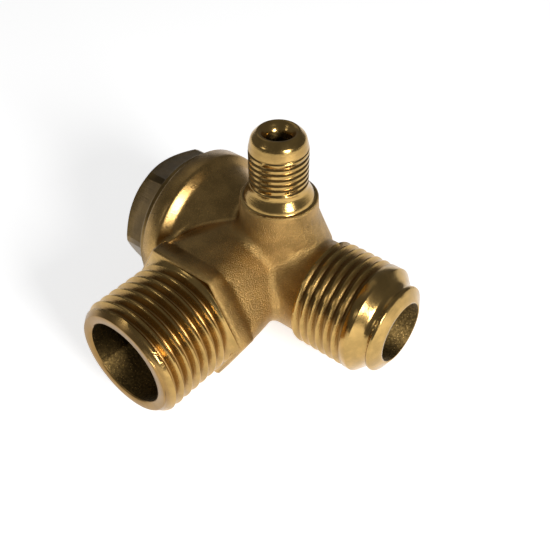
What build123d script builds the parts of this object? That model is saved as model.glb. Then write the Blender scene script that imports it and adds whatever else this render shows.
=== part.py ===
from build123d import *
import math
import os

os.makedirs("parts", exist_ok=True)

# Outside diameters of the three threaded ports
tank_thread_d = 20.8
inlet_thread_d = 19.0
unloader_thread_d = 9.8

# How far each port reaches from the point where the inlet and unloader axes meet
tank_reach = 33.3
inlet_reach = 25.6
unloader_reach = 28.3

# The tank port leaves nearer the cap than the unloader port does
tank_offset = 4.7

# Tank port: thread, plain shank, wrench hexagon and bore
tank_thread_length = 13.1
tank_end_chamfer = 1.25
tank_end_chamfer_length = 1.5
tank_shank_length = 1.0
hexagon_flats = 22.0
hexagon_thickness = 2.9
hexagon_corner_trim = 0.15
hexagon_edge_round = 0.5
tank_bore_d = 15.1
tank_bore_floor = 7.1
tank_mouth_chamfer = 0.3

# Forged neck behind the hexagon: round where it leaves the core, nearly six-sided at its tip
neck_root = 0.5
neck_root_flats = 18.0
neck_root_round = 7.5
neck_waist = 9.0
neck_waist_flats = 20.6
neck_waist_round = 6.5
neck_tip_flats = 21.8
neck_tip_round = 3.0

# Inlet port: forged neck, thread, undercut and flare nose
inlet_thread_length = 11.3
inlet_neck_d = 17.2
nose_length = 4.4
nose_lip_d = 15.9
nose_lip_setback = 1.2
nose_undercut_d = 14.6
inlet_bore_d = 10.7
seat_bore_d = 9.2
seat_bore_length = 5.0

# Unloader port: forged boss, flared root, thread and rounded crown
boss_height = 16.1
boss_tip_d = 13.2
boss_root_d = 14.8
fairing_height = 13.2
fairing_foot_d = 14.8
fairing_foot_height = 5.5
fairing_lean = 1.0
fairing_rear_lean = 1.9
flare_d = 11.9
flare_length = 2.2
flare_round = 2.0
crown_length = 3.0
crown_shoulder_length = 1.0
crown_shoulder_d = 8.9
crown_d = 6.8
countersink_d = 6.0
countersink_depth = 1.3
unloader_bore_d = 3.8

# Valve chamber: outside band and shoulder, measured along the inlet axis
rim_x = -20.2
band_d = 30.0
rim_chamfer = 0.6
shoulder_x = -15.3
shoulder_d = 26.6
shoulder_length = 1.3
shoulder_outer_round = 1.0
shoulder_inner_round = 2.0
core_x = -5.0
core_d = 18.4
crease_radius = 1.6

# Valve chamber: inside
chamber_d = 16.8
chamber_floor_x = -7.6
seat_height = 0.9
seat_d = 12.2
cap_thread_d = 22.0
cap_thread_depth = 6.0
cap_thread_gap = 0.06
seal_ring_wire = 1.2
seal_ring_gap = 0.01

# Cap: flange, hexagon and inside pocket
cap_flange_d = 27.4
cap_flange_thickness = 1.6
cap_edge_chamfer = 0.3
cap_hexagon_flats = 22.4
cap_hexagon_height = 6.6
cap_clock_angle = -5
cap_corner_d = 25.2
cap_crown_d = 20.6
cap_crown_drop = 2.0
cap_spigot_length = 5.6
cap_pocket_depth = 9.0
guide_d = 7.8
guide_bore_d = 5.1
guide_gap = 2.1
stem_stop_gap = 0.05

# Valve: carrier, rubber disc and spring
carrier_d = 13.8
carrier_web = 1.6
stem_clearance = 0.05
stem_length = 8.6
disc_d = 12.6
disc_thickness = 1.8
disc_clearance = 0.05
rim_lap = 1.1
lift = 3.0
spring_wire = 0.8
spring_mean_d = 11.2
spring_turns = 5.5
spring_end_gap = 0.03


def outline(corners):
    # Closed face through corners given as along, out, rounding radius
    points = [Vector(c[0], c[1]) for c in corners]
    rounds = []
    for i, corner in enumerate(corners):
        here = points[i]
        back = (points[i - 1] - here).normalized()
        ahead = (points[(i + 1) % len(points)] - here).normalized()
        if corner[2] == 0:
            rounds.append((here, None, here))
            continue
        half = math.acos(back.dot(ahead)) / 2
        run = corner[2] / math.tan(half)
        centre = here + (back + ahead).normalized() * (corner[2] / math.sin(half))
        middle = centre + (here - centre).normalized() * corner[2]
        rounds.append((here + back * run, middle, here + ahead * run))
    edges = []
    for i, (start, middle, end) in enumerate(rounds):
        if middle is not None:
            edges.append(ThreePointArc(start, middle, end))
        following = rounds[(i + 1) % len(rounds)][0]
        if (following - end).length > 1e-6:
            edges.append(Line(end, following))
    return make_face(edges)


def turned(corners):
    # Solid of revolution about the X axis from its outer corners
    first = (corners[0][0], 0, 0)
    last = (corners[-1][0], 0, 0)
    return revolve(outline([first] + corners + [last]), Axis.X)


def rod(start, end, diameter):
    # Plain cylinder on the X axis between two stations
    radius = diameter / 2
    return turned([(start, radius, 0), (end, radius, 0)])


def softened(solid, edges, radius):
    # Rounded edges, with a smaller radius where the forms leave less room
    for share in (1, 0.8, 0.6, 0.4, 0.2):
        try:
            return fillet(edges, radius * share)
        except ValueError:
            continue
    return solid


def hexagon_face(station, flats):
    # Hexagon across the X axis with two flats square to the Z axis
    return Plane.YZ.offset(station) * RegularPolygon(flats / math.sqrt(3), 6)


def hexagonal(start, end, flats):
    # Hexagonal bar on the X axis between two stations
    return extrude(hexagon_face(start, flats), end - start)


def soft_hexagon(station, flats, radius):
    # Hexagon across the X axis with rounded corners
    face = hexagon_face(station, flats)
    return fillet(face.vertices(), radius)


# Places for the pieces that are drawn along the X axis
to_tank = Pos(-tank_offset, 0, 0) * Rot(0, 0, -90)
to_unloader = Rot(0, -90, 0)

# Stations along the ports
tank_thread_start = tank_reach - tank_thread_length
hexagon_front = tank_thread_start - tank_shank_length
hexagon_rear = hexagon_front - hexagon_thickness
thread_end_x = inlet_reach - nose_length
thread_start_x = thread_end_x - inlet_thread_length
lip_x = inlet_reach - nose_lip_setback
crown_start = unloader_reach - crown_length
flare_end = boss_height + flare_length
band_radius = band_d / 2
seat_x = chamber_floor_x - seat_height

# Forged core with the chamber band, shoulder and inlet neck
core = turned([
    (rim_x, band_radius - rim_chamfer, 0),
    (rim_x + rim_chamfer, band_radius, 0),
    (shoulder_x - shoulder_length, band_radius, shoulder_outer_round),
    (shoulder_x, shoulder_d / 2, shoulder_inner_round),
    (core_x, core_d / 2, 0),
    (thread_start_x - 3.9, inlet_neck_d / 2, 0),
    (thread_start_x, inlet_neck_d / 2, 0),
])

# Forged neck of the tank port and boss of the unloader port
tank_neck = to_tank * loft([
    soft_hexagon(neck_root, neck_root_flats, neck_root_round),
    soft_hexagon(neck_waist, neck_waist_flats, neck_waist_round),
    soft_hexagon(hexagon_rear, neck_tip_flats, neck_tip_round),
])
boss = to_unloader * turned([
    (0, boss_root_d / 2, 0),
    (boss_height, boss_tip_d / 2, 0.35),
])
forging = core + tank_neck + boss
seams = new_edges(core, tank_neck, boss, combined=forging)
forging = softened(forging, seams, crease_radius)

# Fairing that leans from the boss to the far side of the inlet neck
fairing_foot = Pos(fairing_lean, fairing_rear_lean, fairing_foot_height) * Circle(fairing_foot_d / 2)
fairing_top = Pos(0, 0, fairing_height) * Circle(boss_tip_d / 2)
forging += loft([fairing_foot, fairing_top])

# Wrench hexagon on the tank port, its corners trimmed and its front edges rounded
hexagon = hexagonal(hexagon_rear, hexagon_front, hexagon_flats)
corner_d = hexagon_flats * 2 / math.sqrt(3) - 2 * hexagon_corner_trim
hexagon = hexagon & rod(hexagon_rear, hexagon_front, corner_d)
front_edges = hexagon.edges().group_by(Axis.X)[-1]
hexagon = softened(hexagon, front_edges, hexagon_edge_round)

# Machined ends of the three ports, threads kept as plain crest cylinders
tank_radius = tank_thread_d / 2
tank_end = turned([
    (hexagon_front - 1, tank_radius, 0),
    (tank_reach - tank_end_chamfer_length, tank_radius, 0.6),
    (tank_reach, tank_radius - tank_end_chamfer, 0.2),
])
inlet_radius = inlet_thread_d / 2
inlet_end = turned([
    (thread_start_x - 1, inlet_neck_d / 2 - 0.5, 0),
    (thread_start_x - 0.2, inlet_neck_d / 2, 0),
    (thread_start_x + 0.3, inlet_radius, 0),
    (thread_end_x, inlet_radius, 0.25),
    (lip_x - 1.2, nose_undercut_d / 2, 1.2),
    (lip_x, nose_lip_d / 2, 0.5),
    (inlet_reach, inlet_bore_d / 2 + 0.3, 0),
])
unloader_radius = unloader_thread_d / 2
unloader_end = turned([
    (boss_height - 1, flare_d / 2, 0),
    (boss_height + 0.2, flare_d / 2, 0),
    (flare_end, unloader_radius, flare_round),
    (crown_start, unloader_radius, 3.0),
    (unloader_reach - crown_shoulder_length, crown_shoulder_d / 2, 1.6),
    (unloader_reach, crown_d / 2, 0.3),
])

# Valve chamber, open toward the cap, with a raised seat in its floor
chamber = turned([
    (rim_x - 1, cap_thread_d / 2, 0),
    (rim_x + cap_thread_depth, cap_thread_d / 2, 0),
    (rim_x + cap_thread_depth, chamber_d / 2, 0),
    (chamber_floor_x, chamber_d / 2, 0.6),
    (chamber_floor_x, seat_d / 2, 0),
    (seat_x, seat_d / 2 - 0.4, 0),
])

# Recess for the sealing ring at the chamber rim
ring_recess_d = cap_thread_d + 2 * seal_ring_wire + 0.6
ring_recess = rod(rim_x - 1, rim_x + seal_ring_wire, ring_recess_d)

# Bores of the three ports
tank_bore = turned([
    (tank_bore_floor, tank_bore_d / 2, 0),
    (tank_reach - tank_mouth_chamfer, tank_bore_d / 2, 0),
    (tank_reach, tank_bore_d / 2 + tank_mouth_chamfer, 0),
    (tank_reach + 1, tank_bore_d / 2 + tank_mouth_chamfer, 0),
])
seat_bore = rod(seat_x - 1, seat_x + seat_bore_length + 1, seat_bore_d)
inlet_bore = rod(seat_x + seat_bore_length, inlet_reach + 1, inlet_bore_d)
unloader_bore = turned([
    (0, unloader_bore_d / 2, 0),
    (unloader_reach - countersink_depth, unloader_bore_d / 2, 0),
    (unloader_reach, countersink_d / 2, 0),
    (unloader_reach + 1, countersink_d / 2, 0),
])

body = forging + to_tank * (hexagon + tank_end) + inlet_end
body += to_unloader * unloader_end
body -= chamber + ring_recess
body -= to_tank * tank_bore
body -= seat_bore + inlet_bore
body -= to_unloader * unloader_bore

# Rubber disc that closes the seat
disc_back_x = seat_x - disc_thickness
valve_seal = rod(disc_back_x, seat_x, disc_d)

# Carrier with a rim round the disc and a stem that slides in the cap
carrier_back_x = disc_back_x - carrier_web
rim_front_x = disc_back_x + rim_lap
stem_d = guide_bore_d - 2 * stem_clearance
stem_end_x = carrier_back_x - stem_length
plate = turned([
    (carrier_back_x, carrier_d / 2, 0.3),
    (rim_front_x, carrier_d / 2, 0.2),
])
disc_recess = rod(disc_back_x, rim_front_x + 1, disc_d + 2 * disc_clearance)
stem = turned([
    (stem_end_x, stem_d / 2 - 0.4, 0),
    (stem_end_x + 0.4, stem_d / 2, 0),
    (carrier_back_x + 0.5, stem_d / 2, 0),
])
valve_carrier = plate - disc_recess + stem

# Cap: turned flange, hexagon and threaded spigot, hollow for the spring
flange_radius = cap_flange_d / 2
flange_x = rim_x - cap_flange_thickness
cap_top_x = flange_x - cap_hexagon_height
spigot_end_x = rim_x + cap_spigot_length
spigot_radius = cap_thread_d / 2 - cap_thread_gap
cap_turning = turned([
    (cap_top_x, cap_crown_d / 2, 0),
    (cap_top_x + cap_crown_drop, cap_corner_d / 2, 0),
    (flange_x, cap_corner_d / 2, 0),
])
cap_hexagon = Rot(cap_clock_angle, 0, 0) * hexagonal(cap_top_x, flange_x, cap_hexagon_flats)
cap_hexagon &= cap_turning
flange = turned([
    (flange_x, flange_radius, 0.4),
    (rim_x, flange_radius, cap_edge_chamfer),
])
spigot = turned([
    (rim_x - 0.5, spigot_radius, 0),
    (spigot_end_x - 0.5, spigot_radius, 0),
    (spigot_end_x, spigot_radius - 0.5, 0),
])
pocket_floor_x = spigot_end_x - cap_pocket_depth
pocket_radius = chamber_d / 2
pocket = rod(pocket_floor_x, spigot_end_x + 1, chamber_d)
guide_tip_x = carrier_back_x - lift - guide_gap
guide = rod(pocket_floor_x - 0.5, guide_tip_x, guide_d)
guide_bore = rod(stem_end_x - lift - stem_stop_gap, guide_tip_x + 1, guide_bore_d)
cap = cap_hexagon + flange + spigot - pocket + guide - guide_bore

# Sealing ring between the cap flange and the body rim
ring_radius = seal_ring_wire / 2 - seal_ring_gap
ring_centre_d = cap_thread_d + seal_ring_wire
ring_x = rim_x + seal_ring_wire / 2
ring_face = Plane.XY * Pos(ring_x, ring_centre_d / 2, 0) * Circle(ring_radius)
cap_seal = revolve(ring_face, Axis.X)

# Coil spring between the pocket floor and the back of the carrier
wire_radius = spring_wire / 2
coil_start_x = pocket_floor_x + wire_radius + spring_end_gap
coil_end_x = carrier_back_x - wire_radius - spring_end_gap
coil_length = coil_end_x - coil_start_x
coil_path = Helix(coil_length / spring_turns, coil_length, spring_mean_d / 2)
coil_section = Plane(coil_path @ 0, z_dir=coil_path % 0) * Circle(wire_radius)
coil = sweep(coil_section, path=coil_path)
spring = Pos(coil_start_x, 0, 0) * Rot(0, 90, 0) * coil

nodes = {
    "body": body,
    "cap": cap,
    "cap_seal": cap_seal,
    "spring": spring,
    "valve_carrier": valve_carrier,
    "valve_seal": valve_seal,
}
for name, solid in nodes.items():
    solid.label = name
    export_step(solid, "parts/" + name + ".step")
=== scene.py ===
import math

import bmesh
import bpy
from bpy.props import FloatProperty, FloatVectorProperty, IntProperty, PointerProperty
from mathutils import Matrix, Vector


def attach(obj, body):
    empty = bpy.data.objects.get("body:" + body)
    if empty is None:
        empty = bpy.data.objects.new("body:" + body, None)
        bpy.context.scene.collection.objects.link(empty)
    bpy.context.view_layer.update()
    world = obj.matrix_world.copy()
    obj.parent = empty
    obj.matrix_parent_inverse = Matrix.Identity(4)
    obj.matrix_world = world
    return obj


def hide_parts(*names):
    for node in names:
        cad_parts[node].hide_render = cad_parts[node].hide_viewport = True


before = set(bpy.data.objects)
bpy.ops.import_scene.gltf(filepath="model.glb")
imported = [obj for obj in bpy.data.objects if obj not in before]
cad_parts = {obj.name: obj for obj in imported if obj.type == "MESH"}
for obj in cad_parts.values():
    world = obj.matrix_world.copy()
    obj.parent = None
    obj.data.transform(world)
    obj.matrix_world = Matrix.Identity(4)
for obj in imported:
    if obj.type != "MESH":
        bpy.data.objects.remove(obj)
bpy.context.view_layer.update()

bl_info = {
    "name": "Non-return Valve Dressing",
    "version": (1, 0, 0),
    "blender": (4, 5, 0),
    "location": "3D View > Sidebar > Valve",
    "description": "Dresses the brass elbow check valve with threads, brass finishes and a studio",
    "category": "Object",
}

MM = 0.001

# Stations of the valve in millimetres, from the meeting point of its axes
TANK_AXIS_X = -4.7
TANK_END = 33.3
TANK_THREAD_START = 20.2
HEXAGON_REAR = 16.3
HEXAGON_FRONT = 19.2
INLET_THREAD_START = 9.9
INLET_THREAD_END = 21.2
UNLOADER_COLLAR = 16.1
UNLOADER_THREAD_START = 18.3
UNLOADER_TOP = 28.3
SHOULDER_X = -15.3
RIM_X = -20.2
FLOOR_Z = -15.0


class ThreadSizes(bpy.types.PropertyGroup):
    """Pitches of the three external threads."""

    tank_pitch: FloatProperty(name="Tank pitch", description="Pitch of the tank port's pipe thread",
                              default=1.814 * MM, unit="LENGTH")
    inlet_pitch: FloatProperty(name="Inlet pitch", description="Pitch of the inlet port's thread",
                               default=1.5875 * MM, unit="LENGTH")
    unloader_pitch: FloatProperty(name="Unloader pitch", description="Pitch of the unloader port's thread",
                                  default=1.0 * MM, unit="LENGTH")
    steps_per_turn: IntProperty(name="Steps per turn", description="Facets of a groove in one turn",
                                default=72, min=24, max=144)


class BrassLook(bpy.types.PropertyGroup):
    """Colours and gloss of the valve's metals and rubber."""

    forged: FloatVectorProperty(name="Forged brass", description="Colour of the shot-blasted forging",
                                default=(0.44, 0.275, 0.095), subtype="COLOR", min=0, max=1)
    machined: FloatVectorProperty(name="Machined brass", description="Colour of the turned faces and threads",
                                  default=(0.47, 0.3, 0.1), subtype="COLOR", min=0, max=1)
    tarnish: FloatVectorProperty(name="Tarnish", description="Brown film left in the thread grooves and bores",
                                 default=(0.2, 0.1, 0.035), subtype="COLOR", min=0, max=1)
    rubber: FloatVectorProperty(name="Rubber", description="Colour of the seal ring and disc",
                                default=(0.02, 0.02, 0.021), subtype="COLOR", min=0, max=1)
    steel: FloatVectorProperty(name="Spring steel", description="Colour of the spring wire",
                               default=(0.55, 0.54, 0.52), subtype="COLOR", min=0, max=1)


class StudioLevels(bpy.types.PropertyGroup):
    """Strengths of the lamps and the tone of the surroundings."""

    key_power: FloatProperty(name="Key lamp", description="Power of the lamp beside the camera",
                             default=1.4, min=0, unit="POWER")
    fill_power: FloatProperty(name="Fill lamp", description="Power of the lamp on the left",
                              default=0.05, min=0, unit="POWER")
    top_power: FloatProperty(name="Top lamp", description="Power of the lamp over the valve",
                             default=0.05, min=0, unit="POWER")
    surroundings: FloatVectorProperty(name="Surroundings", description="Colour of the studio's walls",
                                      default=(0.13, 0.13, 0.13), subtype="COLOR", min=0, max=1)


class Value:
    """A shader socket that adds Math nodes when it stands in an expression."""

    def __init__(self, paint, socket):
        self.paint = paint
        self.socket = socket

    def maths(self, operation, first, second):
        return self.paint.node("ShaderNodeMath", {"operation": operation}, {0: first, 1: second})

    def __add__(self, other):
        return self.maths("ADD", self, other)

    def __sub__(self, other):
        return self.maths("SUBTRACT", self, other)

    def __rsub__(self, other):
        return self.maths("SUBTRACT", other, self)

    def __mul__(self, other):
        return self.maths("MULTIPLY", self, other)

    def __truediv__(self, other):
        return self.maths("DIVIDE", self, other)

    def __pow__(self, other):
        return self.maths("POWER", self, other)

    def above(self, other):
        return self.maths("MAXIMUM", self, other)

    def below(self, other):
        return self.maths("MINIMUM", self, other)

    def rise(self, low, high):
        """Grows smoothly from 0 at low to 1 at high."""
        return self.paint.node("ShaderNodeMapRange", {"interpolation_type": "SMOOTHSTEP"},
                               {0: self, 1: low, 2: high, 3: 0.0, 4: 1.0})

    __radd__ = __add__
    __rmul__ = __mul__


class Paint:
    """One procedural material, built from its Principled shader outwards."""

    def __init__(self, name, **constants):
        self.material = bpy.data.materials.new(name)
        self.material.use_nodes = True
        self.tree = self.material.node_tree
        self.shader = self.tree.nodes["Principled BSDF"]
        for socket, setting in constants.items():
            self.shader.inputs[socket.replace("_", " ")].default_value = setting
        place = self.node("ShaderNodeTexCoord", {}, {}, "Object")
        self.place = self.node("ShaderNodeVectorMath", {"operation": "SCALE"}, {0: place, 3: 1 / MM})
        self.x, self.y, self.z = (self.node("ShaderNodeSeparateXYZ", {}, {0: self.place}, axis)
                                  for axis in "XYZ")

    def node(self, kind, settings, inputs, output=0):
        node = self.tree.nodes.new(kind)
        for name, setting in settings.items():
            if name == "stops":
                ramp = node.color_ramp
                while len(ramp.elements) < len(setting):
                    ramp.elements.new(1.0)
                for element, (position, colour) in zip(ramp.elements, setting):
                    element.position = position
                    element.color = (*colour, 1.0)
            else:
                setattr(node, name, setting)
        for name, value in inputs.items():
            if isinstance(value, Value):
                self.tree.links.new(value.socket, node.inputs[name])
            else:
                node.inputs[name].default_value = value
        return Value(self, node.outputs[output])

    def noise(self, scale, detail=2.0, roughness=0.5, place=None):
        """Cloudy pattern around 0.5, scale in cells a millimetre."""
        return self.node("ShaderNodeTexNoise", {},
                         {"Vector": place or self.place, "Scale": scale, "Detail": detail,
                          "Roughness": roughness})

    def grains(self, scale):
        """Distance to the nearest of scattered points, scale in points a millimetre."""
        return self.node("ShaderNodeTexVoronoi", {}, {"Vector": self.place, "Scale": scale})

    def stretched(self, x, y, z):
        """Coordinates with each axis multiplied, for lines and streaks."""
        return self.node("ShaderNodeVectorMath", {"operation": "MULTIPLY"}, {0: self.place, 1: (x, y, z)})

    def length(self, first, second):
        """Distance from an axis, from the two coordinates across it."""
        return (first * first + second * second) ** 0.5

    def blend(self, factor, first, second):
        """Mix of two colours, each a colour or a link."""
        colours = [(*c, 1.0) if isinstance(c, tuple) else c for c in (first, second)]
        return self.node("ShaderNodeMix", {"data_type": "RGBA"},
                         {0: factor, 6: colours[0], 7: colours[1]}, 2)

    def bumped(self, height, distance, normal=None):
        """Normal from a height, distance in millimetres, over another normal where one is given."""
        links = {"Strength": 1.0, "Distance": distance * MM, "Height": height}
        if normal is not None:
            links["Normal"] = normal
        return self.node("ShaderNodeBump", {}, links)

    def feed(self, **links):
        for socket, value in links.items():
            self.tree.links.new(value.socket, self.shader.inputs[socket.replace("_", " ")])
        return self.material


def shade(colour, share):
    """The colour made darker or lighter by a share."""
    return tuple(channel * share for channel in colour)


def forged_brass(look):
    """Shot-blasted forging: fine grains, mottled tone."""
    paint = Paint("forged_brass", Metallic=1.0)
    colour = tuple(look.forged)
    cloud = paint.noise(0.35, 4.0)
    tone = paint.blend(cloud.rise(0.35, 0.65), shade(colour, 0.82), shade(colour, 1.12))
    speck = paint.noise(4.0, 2.0, 0.6)
    tone = paint.blend(speck.rise(0.5, 0.72) * 0.6, tone, shade(colour, 1.6))
    rough_side = paint.x.rise(-8.0, -3.0)
    grain = paint.grains(4.2).below(0.6) * 0.55 + paint.noise(7.0, 2.0, 0.6) * 0.5
    height = grain * (rough_side * 0.85 + 0.15)
    gloss = 0.24 + rough_side * 0.12 + paint.noise(2.0, 2.0) * 0.1
    soft = paint.node("ShaderNodeBevel", {"samples": 6}, {"Radius": 0.45 * MM})
    return paint.feed(Base_Color=tone, Roughness=gloss, Normal=paint.bumped(height, 0.22, soft))


def machined_brass(look):
    """Turned ends: tool lines round each port, brown film in the grooves."""
    paint = Paint("machined_brass", Metallic=1.0)
    colour = tuple(look.machined)
    out_x = paint.length(paint.y, paint.z)
    out_t = paint.length(paint.x - TANK_AXIS_X, paint.z)
    out_z = paint.length(paint.x, paint.y)
    on_tank = (0 - paint.y).rise(15.9, 16.1)
    on_unloader = paint.z.rise(15.5, 15.9)
    inlet_depth = 1 - out_x.rise(8.5, 9.5)
    tank_depth = 1 - out_t.rise(9.2, 10.4)
    unloader_depth = 1 - out_z.rise(4.3, 4.9)
    threaded_inlet = 1 - paint.x.rise(21.0, 21.3)
    threaded_unloader = 1 - paint.z.rise(26.2, 26.8)
    film = on_tank * tank_depth + on_unloader * unloader_depth * threaded_unloader
    film = film + (1 - on_tank) * (1 - on_unloader) * inlet_depth * threaded_inlet
    cloud = paint.noise(0.5, 3.0)
    tone = paint.blend(cloud.rise(0.35, 0.65), shade(colour, 0.88), shade(colour, 1.08))
    tone = paint.blend((film * 0.5).below(0.8), tone, tuple(look.tarnish))
    along = on_tank * (0 - paint.y) + on_unloader * paint.z + (1 - on_tank) * (1 - on_unloader) * paint.x
    lines = paint.node("ShaderNodeTexNoise", {"noise_dimensions": "1D"}, {"W": along, "Scale": 7.0, "Detail": 3.0})
    height = lines * 0.012 + paint.noise(2.5, 3.0) * 0.012
    gloss = 0.15 + film * 0.12 + paint.noise(3.0) * 0.08
    return paint.feed(Base_Color=tone, Roughness=gloss, Normal=paint.bumped(height, 1.0))


def shaded_bore_brass(look):
    """Inside walls: painted shade at 13 to 26 percent of the brass colour, with drilling lines and specks at the
    plain brass colour.
    """
    paint = Paint("shaded_bore_brass", Metallic=1.0)
    colour = tuple(look.machined)
    unshaded_specks = paint.grains(2.2)
    # painted shade: the inside walls are drawn at 13 to 26 percent of the brass colour, for the dark inside of the
    # holes
    tone = paint.blend(paint.noise(2.4, 4.0).rise(0.4, 0.65), shade(colour, 0.13), shade(colour, 0.26))
    # specks where the painted shade is left off, at the plain brass colour
    tone = paint.blend(1 - unshaded_specks.rise(0.08, 0.2), tone, colour)
    height = paint.noise(5.0, 3.0, 0.6) * 0.8
    gloss = 0.36 + paint.noise(2.0) * 0.12
    return paint.feed(Base_Color=tone, Roughness=gloss, Normal=paint.bumped(height, 0.08))


def cap_brass(look):
    """Cap: bar stock with drawn flats and turned ends, its colour halved as painted shade."""
    paint = Paint("cap_brass", Metallic=1.0)
    # painted shade: the cap's colour is half the machined brass, for its dim side away from the key lamp
    colour = shade(tuple(look.machined), 0.5)
    cloud = paint.noise(0.4, 4.0)
    tone = paint.blend(cloud.rise(0.35, 0.65), shade(colour, 0.8), shade(colour, 1.1))
    drawn = paint.noise(5.0, 3.0, 0.6, paint.stretched(0.06, 1.0, 1.0))
    rings = paint.node("ShaderNodeTexNoise", {"noise_dimensions": "1D"},
                       {"W": paint.length(paint.y, paint.z), "Scale": 6.0, "Detail": 3.0})
    on_end = 1 - paint.x.rise(-28.1, -27.9)
    height = drawn * (1 - on_end) + rings * on_end * 1.4
    gloss = 0.27 + paint.noise(1.5, 3.0) * 0.14
    return paint.feed(Base_Color=tone, Roughness=gloss, Normal=paint.bumped(height, 0.05))


def turned_brass(look):
    """Valve carrier: bright turned rings on its plate and along its stem."""
    paint = Paint("turned_brass", Metallic=1.0)
    colour = tuple(look.machined)
    rings = paint.node("ShaderNodeTexNoise", {"noise_dimensions": "1D"},
                       {"W": paint.length(paint.y, paint.z) + paint.x, "Scale": 8.0, "Detail": 2.0})
    tone = paint.blend(paint.noise(0.6, 3.0), shade(colour, 0.9), shade(colour, 1.15))
    gloss = 0.2 + rings * 0.15
    return paint.feed(Base_Color=tone, Roughness=gloss, Normal=paint.bumped(rings, 0.02))


def spring_wire(look):
    """Spring steel: drawn along the coil, faintly stained."""
    paint = Paint("spring_wire", Metallic=1.0)
    colour = tuple(look.steel)
    stain = paint.noise(1.4, 4.0)
    tone = paint.blend(stain.rise(0.45, 0.7), colour, shade(colour, 0.6))
    gloss = 0.25 + stain * 0.2
    return paint.feed(Base_Color=tone, Roughness=gloss, Normal=paint.bumped(paint.noise(9.0, 2.0), 0.01))


def moulded_rubber(look, name, grain):
    """Seal rubber: dull black with a moulded grain."""
    paint = Paint(name, Metallic=0.0)
    colour = tuple(look.rubber)
    bloom = paint.noise(1.0, 4.0)
    tone = paint.blend(bloom.rise(0.45, 0.75), colour, shade(colour, 2.2))
    gloss = 0.5 + bloom * 0.2
    return paint.feed(Base_Color=tone, Roughness=gloss, Normal=paint.bumped(paint.noise(grain, 3.0), 0.02))


def merged_copy(node):
    """A bmesh of a CAD node with its loose triangles joined."""
    mesh = bmesh.new()
    mesh.from_mesh(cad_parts[node].data)
    bmesh.ops.remove_doubles(mesh, verts=mesh.verts, dist=2e-7)
    return mesh


def piece_from(mesh, name, materials):
    """An object at the origin from a finished bmesh, smooth except at its sharp edges."""
    data = bpy.data.meshes.new(name)
    mesh.to_mesh(data)
    mesh.free()
    for material in materials:
        data.materials.append(material)
    data.shade_smooth()
    data.set_sharp_from_angle(angle=math.radians(28))
    piece = bpy.data.objects.new(name, data)
    bpy.context.scene.collection.objects.link(piece)
    return piece


def round_groove(radius, pitch):
    """Corners of a pipe thread's groove, as along and out, with rounded crests and root."""
    height, curve, slope = 0.6403 * pitch, 0.1373 * pitch, math.radians(62.5)
    corners = [(0.35, 0.07), (0.02, 0.07)]
    for share in (0.35, 0.68, 1.0):
        corners.append((-curve * (1 - math.cos(slope * share)), curve * math.sin(slope * share)))
    for share in (1.0, 0.55):
        along = pitch / 2 - curve * math.sin(slope * share)
        corners.append((curve * (1 - math.cos(slope * share)) - height, along))
    left = [(along - pitch / 2, radius + out) for out, along in corners]
    return left + [(0.0, radius - height)] + [(-along, out) for along, out in reversed(left)]


def flat_groove(radius, pitch, crest, height):
    """Corners of a sixty-degree thread's groove, as along and out, with flat crests and root."""
    edge = pitch / 2 - crest
    left = [(-edge, radius + 0.35), (-edge, radius + 0.02), (-edge + 0.04, radius - 0.03)]
    left += [(-edge + height / math.sqrt(3), radius - height), (-0.03 * pitch, radius - 1.04 * height)]
    return left + [(-along, out) for along, out in reversed(left)]


def cut_groove(corners, pitch, start, first_angle, turns, steps, run_in, run_out):
    """Helical groove about +X as a closed bmesh, shallower over its first and last turns."""
    mesh = bmesh.new()
    ring = [mesh.verts.new((start + along, 0.0, out)) for along, out in corners]
    loop = [mesh.edges.new((a, b)) for a, b in zip(ring, ring[1:] + ring[:1])]
    count = round(turns * steps)
    bmesh.ops.spin(mesh, geom=ring + loop, cent=(0, 0, 0), axis=(1, 0, 0),
                   dvec=(pitch / steps, 0, 0), angle=2 * math.pi * count / steps, steps=count,
                   use_merge=False, use_duplicate=False)
    mesh.verts.ensure_lookup_table()
    size = len(corners)
    for ring_number in range(count + 1):
        turn = ring_number / steps
        lift = max(1 - turn / run_in if run_in else 0, 1 - (turns - turn) / run_out if run_out else 0, 0)
        if lift <= 0:
            continue
        for vertex in mesh.verts[ring_number * size:(ring_number + 1) * size]:
            outward = Vector((0, vertex.co.y, vertex.co.z)).normalized()
            vertex.co += outward * (lift ** 2 * 0.7 * pitch)
    for first in (0, count * size):
        mesh.faces.new(mesh.verts[first:first + size])
    bmesh.ops.rotate(mesh, cent=(0, 0, 0), matrix=Matrix.Rotation(math.radians(first_angle), 3, "X"),
                     verts=mesh.verts)
    bmesh.ops.recalc_face_normals(mesh, faces=mesh.faces)
    return mesh


def carved(piece, cutters):
    """The piece with the cutters' volumes taken out of its mesh."""
    for number, cutter in enumerate(cutters):
        data = bpy.data.meshes.new(f"groove_{number}")
        cutter.to_mesh(data)
        cutter.free()
        tool = bpy.data.objects.new(f"groove_{number}", data)
        bpy.context.scene.collection.objects.link(tool)
        modifier = piece.modifiers.new("groove", "BOOLEAN")
        modifier.operation = "DIFFERENCE"
        modifier.solver = "EXACT"
        modifier.object = tool
        bpy.context.view_layer.update()
        solid = bpy.data.meshes.new_from_object(piece.evaluated_get(bpy.context.evaluated_depsgraph_get()))
        piece.modifiers.clear()
        piece.data = solid
        bpy.data.objects.remove(tool)


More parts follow.
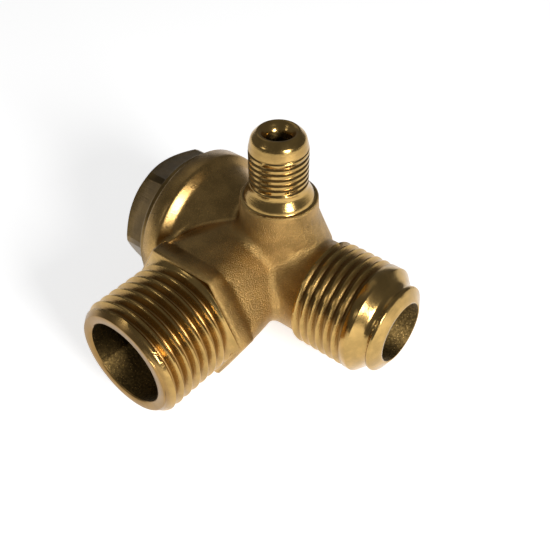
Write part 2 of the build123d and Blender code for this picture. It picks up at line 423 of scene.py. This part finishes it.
def body_zone(centre, normal):
    """Finish of a face of the body: 0 forged, 1 machined, 2 inside wall, from its place in millimetres."""
    x, y, z = centre
    out_x = math.hypot(y, z)
    out_t = math.hypot(x - TANK_AXIS_X, z)
    out_z = math.hypot(x, y)
    if -y > 7 and out_t < 7.6 and abs(normal.y) < 0.6:
        return 2
    if -y > HEXAGON_FRONT - 0.02:
        return 1
    if x > -12 and out_x < 5.4 and abs(normal.x) < 0.6 and z < 5.5:
        return 2
    if x > INLET_THREAD_START - 0.25:
        return 1
    if z > 4 and out_z < 2.0 and abs(normal.z) < 0.3:
        return 2
    if z > UNLOADER_COLLAR - 0.02:
        return 1
    if x < RIM_X + 0.05 and out_x > 10.9:
        return 1
    if x < -7.5 and out_x < 8.5 or x < -14.1 and out_x < 11.9:
        return 2
    return 0


class VALVE_OT_body(bpy.types.Operator):
    """Dress the forged body: cut its three threads and give each zone its brass finish"""

    bl_idname = "valve.body"
    bl_label = "Forged Body"

    def execute(self, context):
        sizes = context.scene.valve_threads
        look = context.scene.valve_brass
        mesh = merged_copy("body")
        piece = piece_from(mesh, "forged_body", [forged_brass(look), machined_brass(look), shaded_bore_brass(look)])
        steps = sizes.steps_per_turn
        to_tank = Matrix.Translation((TANK_AXIS_X, 0, 0)) @ Matrix.Rotation(math.radians(-90), 4, "Z")
        to_unloader = Matrix.Rotation(math.radians(-90), 4, "Y")
        tank_pitch, inlet_pitch, unloader_pitch = (
            pitch / MM for pitch in (sizes.tank_pitch, sizes.inlet_pitch, sizes.unloader_pitch))
        tank = cut_groove(round_groove(10.4, tank_pitch), tank_pitch, 20.01, 215, 7.8, steps, 0.12, 0)
        inlet = cut_groove(flat_groove(9.5, inlet_pitch, 0.1, 0.97), inlet_pitch, 9.34, 0, 6.6, steps, 0.5, 0.35)
        unloader = cut_groove(flat_groove(4.9, unloader_pitch, 0.19, 0.4), unloader_pitch, 18.9, 0, 7.4, steps,
                              0.5, 2.2)
        for cutter, move in ((tank, to_tank), (inlet, Matrix.Identity(4)), (unloader, to_unloader)):
            bmesh.ops.transform(cutter, matrix=Matrix.Scale(MM, 4) @ move, verts=cutter.verts)
        carved(piece, [tank, inlet, unloader])
        for face in piece.data.polygons:
            face.material_index = body_zone(face.center / MM, face.normal)
        piece.data.shade_smooth()
        piece.data.set_sharp_from_angle(angle=math.radians(28))
        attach(piece, "housing")
        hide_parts("body")
        return {"FINISHED"}


class VALVE_OT_cap(bpy.types.Operator):
    """Dress the hexagonal cap: break its edges and give it turned and drawn brass"""

    bl_idname = "valve.cap"
    bl_label = "Hexagonal Cap"

    def execute(self, context):
        mesh = merged_copy("cap")
        bmesh.ops.dissolve_limit(mesh, angle_limit=math.radians(0.5), verts=mesh.verts, edges=mesh.edges)
        edges = [e for e in mesh.edges if len(e.link_faces) == 2
                 and e.calc_face_angle_signed() > math.radians(25) and e.calc_length() > 0.2 * MM]
        bmesh.ops.bevel(mesh, geom=edges, offset=0.12 * MM, offset_type="OFFSET", affect="EDGES",
                        segments=2, profile=0.5, material=-1, clamp_overlap=True)
        bmesh.ops.triangulate(mesh, faces=mesh.faces)
        piece = piece_from(mesh, "hexagonal_cap", [cap_brass(context.scene.valve_brass)])
        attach(piece, "housing")
        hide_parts("cap")
        return {"FINISHED"}


class VALVE_OT_inside(bpy.types.Operator):
    """Give the ring, spring, carrier and disc inside the valve their materials"""

    bl_idname = "valve.inside"
    bl_label = "Inside Pieces"

    def execute(self, context):
        look = context.scene.valve_brass
        finishes = {
            "cap_seal": moulded_rubber(look, "ring_rubber", 6.0),
            "spring": spring_wire(look),
            "valve_carrier": turned_brass(look),
            "valve_seal": moulded_rubber(look, "disc_rubber", 4.0),
        }
        for node, material in finishes.items():
            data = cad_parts[node].data
            data.materials.clear()
            data.materials.append(material)
        return {"FINISHED"}


def lamp(name, power, size, aim, direction, distance):
    """Square soft lamp that faces a point from a direction."""
    data = bpy.data.lights.new(name, "AREA")
    data.energy = power
    data.size = size
    light = bpy.data.objects.new(name, data)
    place = Vector(aim) + Vector(direction).normalized() * distance
    turn = (Vector(aim) - place).to_track_quat("-Z", "Y").to_matrix().to_4x4()
    light.matrix_world = Matrix.Translation(place) @ turn
    bpy.context.scene.collection.objects.link(light)
    return light


class VALVE_OT_studio(bpy.types.Operator):
    """Set the floor, the camera at the photograph's angle and the soft lamps"""

    bl_idname = "valve.studio"
    bl_label = "Studio"

    def execute(self, context):
        levels = context.scene.valve_studio
        scene = context.scene
        turn, lift, roll = (math.radians(angle) for angle in (40.02, 42.86, -0.76))
        back = Vector((math.sin(turn) * math.cos(lift), -math.cos(turn) * math.cos(lift), math.sin(lift)))
        level = Vector((math.cos(turn), math.sin(turn), 0.0))
        upright = back.cross(level)
        right = level * math.cos(roll) + upright * math.sin(roll)
        up = upright * math.cos(roll) - level * math.sin(roll)
        eye = (back * 134.04 - right * 0.81 - up * 1.52) * MM
        data = bpy.data.cameras.new("camera")
        data.sensor_width = 36.0
        data.lens = 744.6 / 550 * data.sensor_width
        data.clip_start = 0.01
        camera = bpy.data.objects.new("camera", data)
        axes = Matrix((right, up, back)).transposed().to_4x4()
        camera.matrix_world = Matrix.Translation(eye) @ axes
        scene.collection.objects.link(camera)
        scene.camera = camera

        middle = (0.0, 0.0, 0.0)
        lamp("key_lamp", levels.key_power, 0.11, middle, right * 0.5 - up * 0.2 + back * 0.84, 0.40)
        lamp("fill_lamp", levels.fill_power, 0.08, middle, Vector((-0.35, -0.7, 0.55)), 0.45)
        lamp("top_lamp", levels.top_power, 0.30, middle, up * 0.8 + back * 0.1 - right * 0.3, 0.50)

        mesh = bmesh.new()
        bmesh.ops.create_grid(mesh, x_segments=1, y_segments=1, size=3.0)
        bmesh.ops.translate(mesh, verts=mesh.verts, vec=(0, 0, FLOOR_Z * MM))
        floor = piece_from(mesh, "floor", [pale_floor()])

        world = bpy.data.worlds.new("surroundings")
        world.use_nodes = True
        ground = world.node_tree.nodes["Background"]
        ground.inputs["Color"].default_value = (*levels.surroundings, 1.0)
        ground.inputs["Strength"].default_value = 1.0
        scene.world = world
        scene.view_settings.view_transform = "Standard"
        return {"FINISHED"}


def pale_floor():
    """Pale floor that the eye and the metal see white, under the valve's soft shadow."""
    paint = Paint("pale_floor", Base_Color=(0.9, 0.9, 0.9, 1.0), Roughness=0.8)
    seen = paint.node("ShaderNodeLightPath", {}, {}, "Is Camera Ray")
    for ray in ("Is Glossy Ray", "Is Transmission Ray"):
        seen = seen.above(paint.node("ShaderNodeLightPath", {}, {}, ray))
    paint.shader.inputs["Emission Color"].default_value = (1.0, 1.0, 1.0, 1.0)
    paint.tree.links.new((seen * 0.7).socket, paint.shader.inputs["Emission Strength"])
    return paint.material


class VALVE_PT_panel(bpy.types.Panel):
    """Lists the valve's sizes, finishes and steps in the sidebar"""

    bl_idname = "VALVE_PT_panel"
    bl_label = "Non-return Valve"
    bl_space_type = "VIEW_3D"
    bl_region_type = "UI"
    bl_category = "Valve"

    def draw(self, context):
        layout = self.layout
        for group in (context.scene.valve_threads, context.scene.valve_brass, context.scene.valve_studio):
            for name in group.__annotations__:
                layout.prop(group, name)
        for step in STEPS:
            layout.operator(step.bl_idname)


STEPS = (VALVE_OT_body, VALVE_OT_cap, VALVE_OT_inside, VALVE_OT_studio)
GROUPS = {"valve_threads": ThreadSizes, "valve_brass": BrassLook, "valve_studio": StudioLevels}


def register():
    for kind in (*GROUPS.values(), *STEPS, VALVE_PT_panel):
        bpy.utils.register_class(kind)
    for name, kind in GROUPS.items():
        setattr(bpy.types.Scene, name, PointerProperty(type=kind))


def unregister():
    for name in GROUPS:
        delattr(bpy.types.Scene, name)
    for kind in (VALVE_PT_panel, *STEPS, *GROUPS.values()):
        bpy.utils.unregister_class(kind)


def main():
    register()
    bpy.ops.valve.body()
    bpy.ops.valve.cap()
    bpy.ops.valve.inside()
    bpy.ops.valve.studio()


if __name__ == "__main__":
    main()
